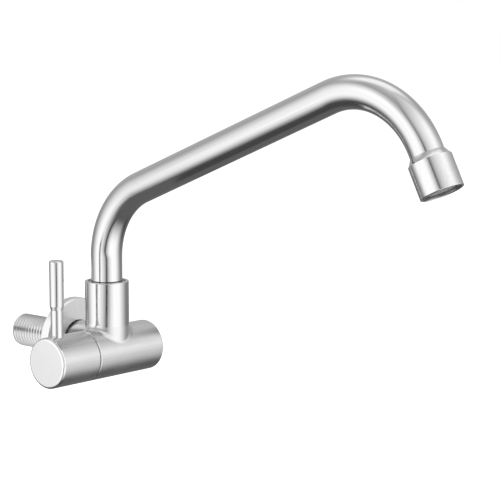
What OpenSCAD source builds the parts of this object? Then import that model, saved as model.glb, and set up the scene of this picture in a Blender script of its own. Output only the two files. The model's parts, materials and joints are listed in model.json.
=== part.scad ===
// Wall-mounted utility sink tap with a quarter-turn lever and a swivel spout.
// Millimetres. The origin lies on the inlet's axis at the wall, +Y goes into the wall, +Z is up
// and the spout reaches out along -Y. The handle is at the -X end of the level body.

/* [Inlet tail] */
// Outside diameter of the parallel pipe thread
thread_d = 20.955; // [19:0.001:22.5]
// Pitch of the pipe thread
thread_pitch = 1.814; // [1.5:0.001:2.2]
// Depth of the thread form
thread_depth = 1.16; // [0.8:0.01:1.3]
// Turns of thread behind the wall
thread_turns = 25; // [10:1:30]
// Outside diameter of the plain stub between body and thread
tail_d = 24.4; // [23.5:0.1:26]
// Bore of the inlet
tail_bore_d = 12.4; // [9:0.1:13]
// Diameter of the spigot that is brazed into the body
tail_spigot_d = 18; // [16:0.1:20]
// Length of that spigot
tail_spigot_len = 6.5; // [4:0.1:7.5]
// Distance by which the stub stops short of the wall
tail_shy = 1; // [0.6:0.1:3]
// Distance from the wall to the body's level axis
wall_to_axis = 50; // [40:0.5:70]
// Sideways distance from the inlet's axis to the spout's axis
inlet_offset = 17; // [15:0.5:20]

/* [Wall flange] */
// Outside diameter of the loose wall flange
flange_d = 53; // [44:0.5:70]
// Depth of the flange from its front face to the wall
flange_depth = 6.3; // [5:0.1:12]
// Thickness of the flange's front plate and rim
flange_wall = 1.6; // [1:0.1:2.5]
// Radial thickness of the flange's collar round the stub
flange_collar = 3.4; // [2.8:0.1:6]
// Rounding of the flange's front edge
flange_round = 1; // [0.4:0.1:1.5]
// Section of the rubber ring that grips the stub
grip_section = 1.8; // [1.2:0.1:2.2]

/* [Valve body] */
// Diameter of the level body and of the handle drum
body_d = 31; // [29.5:0.1:36]
// Distance from the spout's axis to the seam at the handle drum
seam_reach = 20.3; // [17:0.1:26]
// Distance from the spout's axis to the closed far end
far_reach = 34.1; // [30:0.1:45]
// Rounding of the closed far end's edge
far_round = 1.4; // [0.5:0.1:3]
// Rounding of the body's and the drum's edges at the seam
seam_round = 0.7; // [0.2:0.1:1]
// Distance by which the inlet boss stands proud of the body
boss_proud = 1; // [0.5:0.1:4]
// Outside diameter of the spout socket
socket_d = 27.1; // [26:0.1:30]
// Height of the socket's rim above the body's axis
socket_height = 44.5; // [42:0.1:60]
// Rounding of the socket's rim
socket_round = 0.6; // [0.2:0.1:0.8]
// Bore of the socket's mouth
mouth_bore_d = 23.2; // [22.6:0.1:24]
// Depth of the socket's mouth down to the glide seat
mouth_depth = 10.5; // [9:0.1:14]
// Bore of the socket where the spigot seals
seal_bore_d = 20.6; // [20:0.1:21]
// Depth of the socket from its rim to its floor
socket_depth = 27.5; // [24.5:0.1:28]
// Hole in the socket's floor that lets the water up
riser_hole_d = 14; // [8:0.1:16]
// Width of the body's end face that carries the headwork's collar
collar_ledge = 1.1; // [0.8:0.1:2]
// Width of the seat that carries the rubber seal, outside the passage
seat_ledge = 1.45; // [1:0.05:2]
// Depth of the passage past the inlet bore
passage_past = 3.8; // [1:0.1:6]

/* [Headwork] */
// Length of the headwork's sealing land inside the body
land_len = 8.3; // [6:0.1:10]
// Thickness of the rubber seat seal
seal_t = 2.6; // [1.8:0.1:3.2]
// Width of the waterway between the sleeve and the body
sleeve_gap = 1.2; // [0.8:0.1:1.6]
// Thickness of each ceramic disc
disc_t = 3.2; // [2.6:0.1:3.6]
// Width of the discs' rim outside their openings
disc_rim = 2.05; // [1.6:0.05:2.6]
// Inner radius of the openings in the discs
disc_port_inner_r = 2.4; // [2:0.1:3]
// Angle that each opening spans
disc_port_angle = 72; // [50:1:80]
// Wall of the sleeve round the discs
sleeve_wall = 1; // [0.7:0.1:1.3]
// Length of the seat seal that stands out of the sleeve
seal_proud = 1; // [0.6:0.1:1.4]
// Width of the water windows in the sleeve
window_w = 9; // [6:0.1:10]
// Thickness of the headwork's collar against the body
collar_t = 3; // [2:0.1:5]
// Width across the flats of the headwork's hexagon
hex_af = 19; // [17:0.1:20]
// Length of the hexagon
hex_len = 4.7; // [3:0.1:6]
// Diameter of the headwork's neck
neck_d = 16; // [14:0.1:16.6]
// Length of the neck
neck_len = 3; // [2.4:0.1:5]
// Depth of the notch in the neck that limits the turn
stop_depth = 1.5; // [1:0.1:2]
// Section of the rubber ring on the land
land_ring_section = 1.8; // [1.4:0.1:2.2]

/* [Spindle] */
// Diameter of the spindle
spindle_d = 8; // [7:0.1:8.6]
// Width across the flats of the spindle's square end
square_af = 6.4; // [5.6:0.1:6.8]
// Thickness of the foot that turns the disc
foot_t = 5; // [4:0.1:6.5]
// Width of that foot
foot_w = 4.5; // [3.6:0.1:5.2]
// Width of the tongue under the foot
tongue_w = 3; // [2:0.1:3.4]
// Length of the tongue
tongue_len = 9; // [6:0.1:11]
// Depth of the tongue in the disc
tongue_t = 1.5; // [1:0.1:2]
// Distance from the spindle's thrust collar to the sleeve
thrust_gap = 1.8; // [1:0.1:2.4]
// Thickness of the thrust collar
thrust_t = 1.2; // [0.8:0.1:2]
// Thickness of the thrust washer
washer_t = 0.8; // [0.5:0.1:1.2]
// Section of the spindle's rubber rings
spindle_ring_section = 1.3; // [1:0.1:1.6]
// Distance between the spindle's rubber rings
spindle_ring_step = 3.6; // [2.8:0.1:4.5]
// Thickness of the spindle clip
clip_t = 0.9; // [0.6:0.1:1.2]
// Outside diameter of the spindle clip
clip_d = 12; // [10.5:0.1:13]
// Angle that the handle turns from shut to open
turn_angle = 90; // [60:1:120]
// Width of the stop lug as an angle
lug_angle = 14; // [10:1:20]
// Spare angle of the stop at each limit
stop_spare = 2; // [1:1:4]

/* [Handle] */
// Distance from the spout's axis to the drum's end face
face_reach = 51.4; // [49:0.1:65]
// Gap of the visible seam between drum and body
seam_gap = 0.4; // [0.2:0.1:0.8]
// Rounding of the drum's end face
face_round = 1.7; // [0.3:0.1:2]
// Wall of the drum round the headwork
drum_wall = 2.2; // [1.4:0.1:2.2]
// Thickness of the drum's closed end behind the spindle
drum_end = 3.4; // [2:0.1:6]
// Space between the spindle clip and the drum's boss
boss_space = 2; // [0.6:0.1:3]
// Depth of the guide ring
guide_len = 2.8; // [1.5:0.1:4]
// Radial thickness of the guide ring
guide_wall = 1.62; // [1:0.01:2.2]
// Distance from the spout's axis to the lever
lever_reach = 42.1; // [40:0.1:44]
// Height of the lever's top above the body's axis
lever_height = 61.5; // [45:0.5:90]
// Height of the step between neck and grip
lever_step = 31.5; // [24:0.5:40]
// Diameter of the lever's grip
grip_d = 8.8; // [7.8:0.1:12]
// Diameter of the lever's neck
stem_d = 7.6; // [6.4:0.1:7.7]
// Rounding of the lever's top
lever_round = 1; // [0.4:0.1:2]
// Height of the taper under the grip
lever_taper = 2.4; // [0.5:0.1:3]
// Depth of the flat seat cut for the lever into the drum
lever_seat = 0.7; // [0.6:0.1:1.5]
// Thread diameter of the lever's foot
lever_thread_d = 6; // [4:0.1:6]
// Length of the lever's foot
lever_thread_len = 6; // [4:0.1:8]
// Thread diameter of the drum's set screw
drum_screw_d = 5; // [3:0.1:6]
// Depth of the set screw's head below the drum's surface
drum_screw_sunk = 2; // [1:0.1:4]
// Width across the flats of the set screw's key
drum_screw_key = 2.5; // [1.5:0.1:2.8]

/* [Spout] */
// Outside diameter of the spout tube
tube_d = 19.4; // [18.4:0.01:20]
// Wall of the spout tube
tube_wall = 1; // [0.8:0.1:1.4]
// Height above the body's axis where the riser starts to bend
riser_top = 59; // [55:0.5:120]
// Radius of the lower bend
bend_r = 49; // [30:0.5:70]
// Angle of the lower bend
bend_angle = 67.3; // [45:0.1:85]
// Length of the straight arm
arm_len = 157.3; // [60:0.5:220]
// Radius of the bend at the tip
tip_bend_r = 52.2; // [30:0.5:70]
// Angle of the bend at the tip
tip_bend_angle = 85.8; // [60:0.1:100]
// Loss of wall on each side where the tube was bent
bend_thin = 0.02; // [0.01:0.01:0.05]
// Length by which a straight runs on into a bend
bend_lap = 0.4; // [0.2:0.1:0.8]

/* [Swivel] */
// Thickness of the glide washer
glide_t = 0.9; // [0.6:0.1:1.5]
// Thickness of the spigot's collar
swivel_collar_t = 3.1; // [2:0.1:4]
// Length of the spigot inside the tube
tenon_len = 12; // [8:0.1:16]
// Bore of the spigot
swivel_bore_d = 12.6; // [10:0.1:13]
// Gap between the spigot and the socket's floor
floor_gap = 0.6; // [0.3:0.1:1]
// Section of the spigot's rubber rings
swivel_ring_section = 1.8; // [1.4:0.1:2]
// Height of the lower rubber ring above the spigot's end
swivel_ring_up = 2.7; // [2:0.1:3]
// Distance between the spigot's rubber rings
swivel_ring_step = 3.6; // [3:0.1:4]
// Depth of the lock groove's middle below the socket's rim
lock_down = 15.2; // [14:0.1:15.6]
// Width of the lock groove
lock_groove_w = 4; // [3.4:0.1:4.4]
// Depth of the lock groove
lock_groove_t = 1.9; // [1.5:0.1:2.2]
// Thread diameter of the lock screw
lock_screw_d = 4; // [3:0.1:5]
// Diameter of the lock screw's dog point
lock_tip_d = 2.8; // [2:0.1:2.8]
// Width across the flats of the lock screw's key
lock_key = 2; // [1.3:0.1:2]
// Depth of the bush's top below the socket's rim
bush_sunk = 1.3; // [0.6:0.1:3]

/* [Outlet] */
// Outside diameter of the outlet housing
housing_d = 24.8; // [24.2:0.1:30]
// Straight length of tube between the tip's bend and the housing
shoulder_start = 2.7; // [1:0.1:20]
// Wall of the shoulder's small end round the tube
shoulder_lip = 0.3; // [0.2:0.1:0.8]
// Slope of the hollow shoulder where it leaves the tube
shoulder_rise = 24; // [5:1:32]
// Slope of the hollow shoulder where it meets the housing's cylinder
shoulder_slope = 42; // [36:1:65]
// Depth of the tube in the housing
tube_seat = 4.2; // [3:0.1:6]
// Thickness of the ledge between tube and gasket
ledge_t = 1.6; // [1.2:0.1:2.5]
// Bore of the ledge
ledge_d = 16.6; // [14:0.1:17]
// Bore of the housing that takes the aerator
aerator_bore_d = 22; // [21:0.1:22.4]
// Rounding of the housing's lower edge
housing_round = 0.5; // [0.2:0.1:0.6]
// Depth of the aerator's end inside the housing
outlet_sunk = 0.8; // [0.4:0.1:3]
// Wall of the aerator shell
shell_wall = 1.3; // [1:0.1:1.6]
// Width of the shell's lower lip
lip_w = 0.9; // [0.6:0.1:1.5]
// Thickness of the shell's lower lip
lip_t = 1; // [0.8:0.1:1.5]
// Width of the key slots in the lip
key_slot_w = 2; // [1:0.1:3]
// Thickness of the aerator's gasket
gasket_t = 1.6; // [1:0.1:2.5]
// Thickness of the inlet screen
screen_t = 1.6; // [1.2:0.1:2.5]
// Thickness of the flow plate
plate_t = 1.6; // [1:0.1:2.5]
// Length of the aerator's insert
insert_len = 8.1; // [5:0.1:12]
// Wall of the aerator's insert
insert_wall = 2; // [1.2:0.1:3]
// Thickness of the outlet grid
grid_t = 1.8; // [1.2:0.1:3]
// Width of the grid's bars
grid_bar = 0.5; // [0.4:0.1:0.8]
// Distance between the grid's bars
grid_pitch = 2.4; // [1.8:0.1:3.2]

/* [Fits] */
// Radial clearance of a shaft in its bore
running_fit = 0.05; // [0.02:0.01:0.08]
// Radial clearance of pieces that are pressed, screwed or brazed together
seat_fit = 0.03; // [0.02:0.01:0.06]
// Gap between flat faces that slide on each other
slide_gap = 0.02; // [0.01:0.01:0.05]
// Radial gap round a part that turns free of the wall near it
free_gap = 0.35; // [0.3:0.05:0.5]
// Small chamfer of turned edges
edge_break = 0.3; // [0.1:0.1:0.5]

/* [Hidden] */
$fn = 96;
// Overlap of a cutting shape past the face that it cuts
past = 1;
body_r = body_d / 2;
tail_r = tail_d / 2;
tube_r = tube_d / 2;
tube_inner_r = tube_r - tube_wall;

// Heights in the headwork's frame: 0 at the seat in the body, counted towards the handle
fixed_base = seal_t;
rotor_base = fixed_base + disc_t + slide_gap;
rotor_top = rotor_base + disc_t;
foot_top = rotor_top + foot_t;
thrust_top = foot_top + thrust_t;
washer_base = thrust_top + slide_gap;
step_z = washer_base + washer_t;
seam_z = step_z + land_len;
collar_top = seam_z + collar_t;
hex_top = collar_top + hex_len;
neck_top = hex_top + neck_len;
clip_base = neck_top + slide_gap;
clip_top = clip_base + clip_t;
boss_base = clip_top + boss_space;
// The seat lies this far beyond the spout's axis
seat_reach = seam_z - seam_reach;
face_z = seat_reach + face_reach;
lever_z = seat_reach + lever_reach;
far_z = seat_reach - far_reach;
inlet_z = seat_reach - inlet_offset;
drum_base = seam_z + seam_gap;
square_top = face_z - drum_end;
window_base = rotor_top + edge_break;
window_top = step_z - washer_t - edge_break;

// What nests in the drum and the body, from the drum's bore inwards
drum_bore_r = body_r - drum_wall;
guide_r = drum_bore_r - running_fit;
guide_inner_r = guide_r - guide_wall;
collar_r = guide_inner_r - seat_fit;
headwork_bore_r = collar_r - collar_ledge;
land_r = headwork_bore_r - seat_fit;
sleeve_r = headwork_bore_r - sleeve_gap;
sleeve_inner_r = sleeve_r - sleeve_wall;
disc_r = sleeve_inner_r - running_fit;
disc_port_r = disc_r - disc_rim;
passage_r = disc_r - seat_ledge;
thrust_r = sleeve_inner_r - thrust_gap;
spindle_r = spindle_d / 2;
spindle_bore_r = spindle_r + running_fit;
// Bottom of the groove and middle of a rubber ring that seals in a bore
function groove_r(bore_r, section) = bore_r - section - 2 * seat_fit;
function ring_r(bore_r, section) = bore_r - section / 2 - seat_fit;
land_ring_z = step_z + land_ring_section + edge_break;
spindle_ring_z = step_z + spindle_ring_section + edge_break;
clip_groove_r = clip_d / 4;
stop_r = neck_d / 2 - edge_break;
lever_seat_r = body_r - lever_seat;
drum_screw_top = square_af / 2 + seat_fit;

// Heights in the spout's frame: 0 at the body's axis, counted upwards
glide_base = socket_height - mouth_depth;
swivel_collar_base = glide_base + glide_t + slide_gap;
tube_foot = swivel_collar_base + swivel_collar_t;
socket_floor = socket_height - socket_depth;
spigot_foot = socket_floor + floor_gap;
lock_z = socket_height - lock_down;
mouth_r = mouth_bore_d / 2;
seal_bore_r = seal_bore_d / 2;
spigot_r = seal_bore_r - running_fit;
lock_groove_r = spigot_r - lock_groove_t;
lock_screw_out = socket_d / 2 - edge_break;
lock_screw_in = seal_bore_r + edge_break;
lock_tip_in = lock_groove_r + free_gap;

// Lengths in the outlet's frame: 0 at the end of the tip's bend, counted with the flow
tube_end = shoulder_start + tube_seat;
ledge_base = tube_end + slide_gap;
gasket_base = ledge_base + ledge_t;
screen_base = gasket_base + gasket_t;
plate_base = screen_base + screen_t;
insert_base = plate_base + plate_t;
grid_base = insert_base + insert_len;
lip_base = grid_base + grid_t;
shell_end = lip_base + lip_t;
housing_end = shell_end + outlet_sunk;
housing_r = housing_d / 2;
aerator_bore_r = aerator_bore_d / 2;
shell_r = aerator_bore_r - seat_fit;
shell_inner_r = shell_r - shell_wall;
stack_r = shell_inner_r - seat_fit;
lip_inner_r = shell_inner_r - lip_w;
tube_hole_r = tube_r + seat_fit;
shoulder_base_r = tube_hole_r + shoulder_lip;
shoulder_r = (housing_r - shoulder_base_r) / (cos(shoulder_rise) - cos(shoulder_slope));

// Points of an arc, for the rounded edges of turned profiles
function arc(centre, r, from, to, steps = 6) =
    [for (i = [0:steps]) let (a = from + (to - from) * i / steps) centre + r * [cos(a), sin(a)]];

// Frames
module spout_frame() {
    translate([-inlet_offset, -wall_to_axis, 0]) children();
}

module headwork_frame() {
    spout_frame() translate([seat_reach, 0, 0]) rotate([0, -90, 0]) children();
}

module wall_frame() {
    rotate([-90, 0, 0]) children();
}

module after_bend(r, angle) {
    translate([0, -r, 0]) rotate([angle, 0, 0]) translate([0, r, 0]) children();
}

module arm_frame() {
    spout_frame() translate([0, 0, riser_top]) after_bend(bend_r, bend_angle) children();
}

module outlet_frame() {
    arm_frame() translate([0, 0, arm_len]) after_bend(tip_bend_r, tip_bend_angle) children();
}

// Shared shapes
module pipe(outer_r, inner_r, length) {
    difference() {
        cylinder(r = outer_r, h = length);
        translate([0, 0, -past]) cylinder(r = inner_r, h = length + 2 * past);
    }
}

module o_ring(middle_r, section) {
    rotate_extrude() translate([middle_r, 0]) circle(d = section);
}

module ring_groove(outer_r, bottom_r, width) {
    translate([0, 0, -width / 2]) pipe(outer_r + past, bottom_r, width);
}

module sector(inner_r, outer_r, height, middle, angle) {
    rotate_extrude(angle = angle, start = middle - angle / 2)
        translate([inner_r, 0]) square([outer_r - inner_r, height]);
}

module holes_on_circle(circle_r, hole_d, count, height) {
    for (i = [0:count - 1])
        rotate([0, 0, i * 360 / count]) translate([circle_r, 0, -past])
            cylinder(d = hole_d, h = height + 2 * past);
}

// Fixed to the wall
module valve_body() {
    level_profile = concat(
        [[0, far_z]],
        arc([body_r - far_round, far_z + far_round], far_round, -90, 0),
        arc([body_r - seam_round, seam_z - seam_round], seam_round, 0, 90),
        [[0, seam_z]]);
    socket_profile = concat(
        [[0, 0], [socket_d / 2, 0]],
        arc([socket_d / 2 - socket_round, socket_height - socket_round], socket_round, 0, 90),
        [[0, socket_height]]);
    boss_top = body_r + boss_proud;
    color("silver") difference() {
        union() {
            headwork_frame() rotate_extrude() polygon(level_profile);
            spout_frame() rotate_extrude() polygon(socket_profile);
            translate([0, -wall_to_axis, 0]) wall_frame() cylinder(r = tail_r, h = boss_top);
        }
        // Headwork bore, seat and passage
        headwork_frame() cylinder(r = headwork_bore_r, h = seam_z + past);
        headwork_frame() translate([0, 0, inlet_z - tail_bore_d / 2 - passage_past])
            cylinder(r = passage_r, h = past - inlet_z + tail_bore_d / 2 + passage_past);
        // Inlet
        translate([0, -wall_to_axis, 0]) wall_frame() cylinder(d = tail_bore_d, h = boss_top);
        translate([0, boss_top - tail_spigot_len - wall_to_axis, 0]) wall_frame()
            cylinder(d = tail_spigot_d + 2 * seat_fit, h = tail_spigot_len + past);
        // Spout socket
        spout_frame() {
            cylinder(d = riser_hole_d, h = socket_floor + past);
            translate([0, 0, socket_floor]) cylinder(r = seal_bore_r, h = socket_depth + past);
            translate([0, 0, glide_base]) cylinder(r = mouth_r, h = mouth_depth + past);
            translate([0, 0, lock_z]) wall_frame() cylinder(d = lock_screw_d + 2 * seat_fit, h = socket_d);
        }
    }
}

module inlet_tail() {
    boss_top = body_r + boss_proud;
    stub_len = wall_to_axis - boss_top - tail_shy;
    crest = thread_pitch / 4;
    flank = (thread_pitch - crest) * 0.44;
    root_r = thread_d / 2 - thread_depth;
    thread_start = -crest / 2;
    ridge_points = [for (i = [0:thread_turns - 1]) let (y = thread_start + i * thread_pitch) each [
        [root_r, y - flank], [thread_d / 2, y], [thread_d / 2, y + crest], [root_r, y + crest + flank]]];
    thread_end = thread_start + thread_turns * thread_pitch;
    profile = concat(
        [[tail_bore_d / 2, -tail_shy - stub_len - tail_spigot_len]],
        [[tail_spigot_d / 2, -tail_shy - stub_len - tail_spigot_len]],
        [[tail_spigot_d / 2, -tail_shy - stub_len], [tail_r, -tail_shy - stub_len]],
        [[tail_r, -tail_shy - edge_break], [tail_r - edge_break, -tail_shy], [root_r, -tail_shy]],
        ridge_points,
        [[root_r, thread_end], [tail_bore_d / 2, thread_end]]);
    color("lightgray") wall_frame() rotate_extrude() polygon(profile);
}

module headwork_body() {
    color("goldenrod") headwork_frame() difference() {
        union() {
            translate([0, 0, seal_proud]) cylinder(r = sleeve_r, h = step_z);
            translate([0, 0, step_z]) cylinder(r = land_r, h = land_len);
            translate([0, 0, seam_z]) cylinder(r = collar_r, h = collar_t);
            translate([0, 0, collar_top]) cylinder(d = hex_af / cos(30), h = hex_len, $fn = 6);
            translate([0, 0, hex_top]) cylinder(d = neck_d, h = neck_len);
        }
        translate([0, 0, -past]) cylinder(r = sleeve_inner_r, h = step_z + past);
        cylinder(r = spindle_bore_r, h = neck_top + past);
        for (turn = [0, 90])
            rotate([0, 0, turn]) translate([-window_w / 2, -body_r, window_base])
                cube([window_w, body_d, window_top - window_base]);
        translate([0, 0, land_ring_z])
            ring_groove(land_r, groove_r(headwork_bore_r, land_ring_section), land_ring_section + edge_break);
        translate([0, 0, neck_top - stop_depth])
            sector(0, neck_d, stop_depth + past, 180 - turn_angle / 2,
                turn_angle + lug_angle + 2 * stop_spare);
    }
}

module land_o_ring() {
    color("dimgray") headwork_frame() translate([0, 0, land_ring_z])
        o_ring(ring_r(headwork_bore_r, land_ring_section), land_ring_section);
}

module seat_seal() {
    color("dimgray") headwork_frame() pipe(disc_r, disc_port_r + edge_break, seal_t);
}

module fixed_disc() {
    color("ivory") headwork_frame() translate([0, 0, fixed_base]) difference() {
        cylinder(r = disc_r, h = disc_t);
        for (side = [90, 270])
            translate([0, 0, -past])
                sector(disc_port_inner_r, disc_port_r, disc_t + 2 * past, side, disc_port_angle);
    }
}

module thrust_washer() {
    color("white") headwork_frame() translate([0, 0, washer_base])
        pipe(sleeve_inner_r - seat_fit, spindle_r + free_gap, washer_t);
}

module guide_ring() {
    color("gainsboro") headwork_frame() translate([0, 0, seam_z])
        pipe(guide_r, guide_inner_r, guide_len);
}

module glide_washer() {
    color("white") spout_frame() translate([0, 0, glide_base])
        pipe(mouth_r - seat_fit, spigot_r + free_gap, glide_t);
}

module mouth_bush() {
    bush_base = tube_foot + slide_gap;
    color("gray") spout_frame() translate([0, 0, bush_base])
        pipe(mouth_r - seat_fit, tube_r + running_fit, socket_height - bush_sunk - bush_base);
}

module lock_screw() {
    color("darkgray") spout_frame() translate([0, 0, lock_z]) wall_frame() difference() {
        union() {
            translate([0, 0, lock_screw_in]) cylinder(d = lock_screw_d, h = lock_screw_out - lock_screw_in);
            translate([0, 0, lock_tip_in]) cylinder(d = lock_tip_d, h = lock_screw_out - lock_tip_in);
        }
        translate([0, 0, (lock_screw_in + lock_screw_out) / 2])
            cylinder(d = lock_key / cos(30), h = lock_screw_out, $fn = 6);
    }
}

// Turns with the handle
module handle_drum() {
    profile = concat(
        [[0, drum_base]],
        arc([body_r - seam_round, drum_base + seam_round], seam_round, -90, 0),
        arc([body_r - face_round, face_z - face_round], face_round, 0, 90),
        [[0, face_z]]);
    color("lightsteelblue") headwork_frame() difference() {
        rotate_extrude() polygon(profile);
        translate([0, 0, drum_base - past]) cylinder(r = drum_bore_r, h = boss_base - drum_base + past);
        spindle_square(seat_fit, boss_base - past, square_top + slide_gap);
        // Seat and thread of the lever
        translate([0, 0, lever_z]) rotate([0, 90, 0]) {
            translate([0, 0, lever_seat_r]) cylinder(d = stem_d + 2 * seat_fit, h = body_r);
            translate([0, 0, lever_seat_r - lever_thread_len - slide_gap])
                cylinder(d = lever_thread_d + 2 * seat_fit, h = lever_thread_len + past);
        }
        translate([0, 0, lever_z]) rotate([0, -90, 0]) cylinder(d = drum_screw_d + 2 * seat_fit, h = body_d);
    }
}

module lever() {
    profile = concat(
        [[0, lever_seat_r - lever_thread_len], [lever_thread_d / 2, lever_seat_r - lever_thread_len]],
        [[lever_thread_d / 2, lever_seat_r], [stem_d / 2, lever_seat_r], [stem_d / 2, lever_step]],
        [[grip_d / 2, lever_step + lever_taper]],
        arc([grip_d / 2 - lever_round, lever_height - lever_round], lever_round, 0, 90),
        [[0, lever_height]]);
    color("gainsboro") headwork_frame() translate([0, 0, lever_z]) rotate([0, 90, 0])
        rotate_extrude() polygon(profile);
}

module drum_set_screw() {
    length = body_r - drum_screw_sunk - drum_screw_top;
    color("darkgray") headwork_frame() translate([0, 0, lever_z]) rotate([0, -90, 0])
        translate([0, 0, drum_screw_top]) difference() {
            cylinder(d = drum_screw_d, h = length);
            translate([0, 0, length - drum_screw_key])
                cylinder(d = drum_screw_key / cos(30), h = length, $fn = 6);
        }
}

module spindle_square(clear, from, to) {
    intersection() {
        translate([0, 0, from]) cylinder(r = spindle_r + clear, h = to - from);
        translate([-square_af / 2 - clear, -square_af / 2 - clear, from])
            cube([square_af + 2 * clear, square_af + 2 * clear, to - from]);
    }
}

module spindle() {
    shaft_top = clip_top + slide_gap;
    color("peru") headwork_frame() {
        difference() {
            union() {
                translate([-tongue_w / 2, -tongue_len / 2, rotor_top - tongue_t])
                    cube([tongue_w, tongue_len, tongue_t + foot_t]);
                intersection() {
                    translate([0, 0, rotor_top]) cylinder(r = sleeve_inner_r - free_gap, h = foot_t);
                    translate([-foot_w / 2, -body_r, rotor_top]) cube([foot_w, body_d, foot_t]);
                }
                translate([0, 0, foot_top]) cylinder(r = thrust_r, h = thrust_t);
                translate([0, 0, foot_top]) cylinder(r = spindle_r, h = shaft_top - foot_top);
                translate([0, 0, neck_top - stop_depth + slide_gap])
                    sector(spindle_r - edge_break, stop_r, stop_depth - slide_gap, 180, lug_angle);
                spindle_square(0, clip_top, square_top);
            }
            for (i = [0, 1])
                translate([0, 0, spindle_ring_z + i * spindle_ring_step])
                    ring_groove(spindle_r, groove_r(spindle_bore_r, spindle_ring_section),
                        spindle_ring_section + edge_break);
            translate([0, 0, clip_base]) pipe(clip_d, clip_groove_r - seat_fit, clip_t + slide_gap);
        }
    }
}

module spindle_o_rings() {
    color("dimgray") headwork_frame()
        for (i = [0, 1])
            translate([0, 0, spindle_ring_z + i * spindle_ring_step])
                o_ring(ring_r(spindle_bore_r, spindle_ring_section), spindle_ring_section);
}

module spindle_clip() {
    color("darkgray") headwork_frame() translate([0, 0, clip_base]) difference() {
        pipe(clip_d / 2, clip_groove_r, clip_t - slide_gap);
        translate([0, -clip_groove_r * 0.8, -past]) cube([clip_d, clip_groove_r * 1.6, clip_t + 2 * past]);
    }
}

module rotating_disc() {
    color("ivory") headwork_frame() translate([0, 0, rotor_base]) difference() {
        cylinder(r = disc_r, h = disc_t);
        for (side = [0, 180])
            translate([0, 0, -past])
                sector(disc_port_inner_r, disc_port_r, disc_t + 2 * past, side, disc_port_angle);
        translate([-tongue_w / 2 - seat_fit, -tongue_len / 2 - seat_fit, disc_t - tongue_t - slide_gap])
            cube([tongue_w + 2 * seat_fit, tongue_len + 2 * seat_fit, tongue_t + past]);
    }
}

// Swings with the spout
module tube_straight(from, to) {
    translate([0, 0, from]) linear_extrude(to - from) difference() {
        circle(r = tube_r);
        circle(r = tube_inner_r);
    }
}

module tube_bend(r, angle) {
    translate([0, -r, 0]) rotate([90, 0, 90]) rotate_extrude(angle = angle) translate([r, 0]) difference() {
        circle(r = tube_r - bend_thin);
        circle(r = tube_inner_r + bend_thin);
    }
}

module spout_tube() {
    color("gainsboro") union() {
        spout_frame() tube_straight(tube_foot, riser_top + bend_lap);
        spout_frame() translate([0, 0, riser_top]) tube_bend(bend_r, bend_angle);
        arm_frame() tube_straight(-bend_lap, arm_len + bend_lap);
        arm_frame() translate([0, 0, arm_len]) tube_bend(tip_bend_r, tip_bend_angle);
        outlet_frame() tube_straight(-bend_lap, tube_end);
    }
}

module swivel_spigot() {
    color("peru") spout_frame() difference() {
        union() {
            translate([0, 0, spigot_foot]) cylinder(r = spigot_r, h = swivel_collar_base - spigot_foot);
            translate([0, 0, swivel_collar_base]) cylinder(r = mouth_r - free_gap, h = swivel_collar_t);
            translate([0, 0, tube_foot]) cylinder(r = tube_inner_r - seat_fit, h = tenon_len);
        }
        translate([0, 0, spigot_foot - past])
            cylinder(d = swivel_bore_d, h = tube_foot + tenon_len - spigot_foot + 2 * past);
        for (i = [0, 1])
            translate([0, 0, spigot_foot + swivel_ring_up + i * swivel_ring_step])
                ring_groove(spigot_r, groove_r(seal_bore_r, swivel_ring_section),
                    swivel_ring_section + edge_break);
        translate([0, 0, lock_z]) ring_groove(spigot_r, lock_groove_r, lock_groove_w);
    }
}

module swivel_o_rings() {
    color("dimgray") spout_frame()
        for (i = [0, 1])
            translate([0, 0, spigot_foot + swivel_ring_up + i * swivel_ring_step])
                o_ring(ring_r(seal_bore_r, swivel_ring_section), swivel_ring_section);
}

module outlet_housing() {
    shoulder_centre = [shoulder_base_r, shoulder_start]
        + shoulder_r * [cos(shoulder_rise), -sin(shoulder_rise)];
    profile = concat(
        [[tube_hole_r, shoulder_start]],
        arc(shoulder_centre, shoulder_r, 180 - shoulder_rise, 180 - shoulder_slope, 8),
        arc([housing_r - housing_round, housing_end - housing_round], housing_round, 0, 90),
        [[aerator_bore_r + edge_break, housing_end], [aerator_bore_r, housing_end - edge_break]],
        [[aerator_bore_r, gasket_base], [ledge_d / 2, gasket_base]],
        [[ledge_d / 2, ledge_base], [tube_hole_r, ledge_base]]);
    color("silver") outlet_frame() rotate_extrude() polygon(profile);
}

module aerator_gasket() {
    color("dimgray") outlet_frame() translate([0, 0, gasket_base])
        pipe(aerator_bore_r - seat_fit, ledge_d / 2 - edge_break, gasket_t);
}

module inlet_screen() {
    color("silver") outlet_frame() translate([0, 0, screen_base]) difference() {
        cylinder(r = stack_r, h = screen_t);
        translate([0, 0, -past]) cylinder(r = stack_r - insert_wall, h = screen_t / 2 + past);
        holes_on_circle(stack_r * 0.62, 1.6, 14, screen_t);
        holes_on_circle(stack_r * 0.3, 1.6, 7, screen_t);
    }
}

module flow_plate() {
    color("whitesmoke") outlet_frame() translate([0, 0, plate_base]) difference() {
        cylinder(r = stack_r, h = plate_t);
        holes_on_circle(stack_r * 0.55, 1.2, 12, plate_t);
    }
}

module aerator_insert() {
    color("whitesmoke") outlet_frame() translate([0, 0, insert_base]) difference() {
        pipe(stack_r, stack_r - insert_wall, insert_len);
        for (turn = [0, 60, 120])
            rotate([0, 0, turn]) translate([-insert_wall, -housing_r, insert_len / 4])
                cube([2 * insert_wall, housing_d, insert_len / 4]);
    }
}

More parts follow.
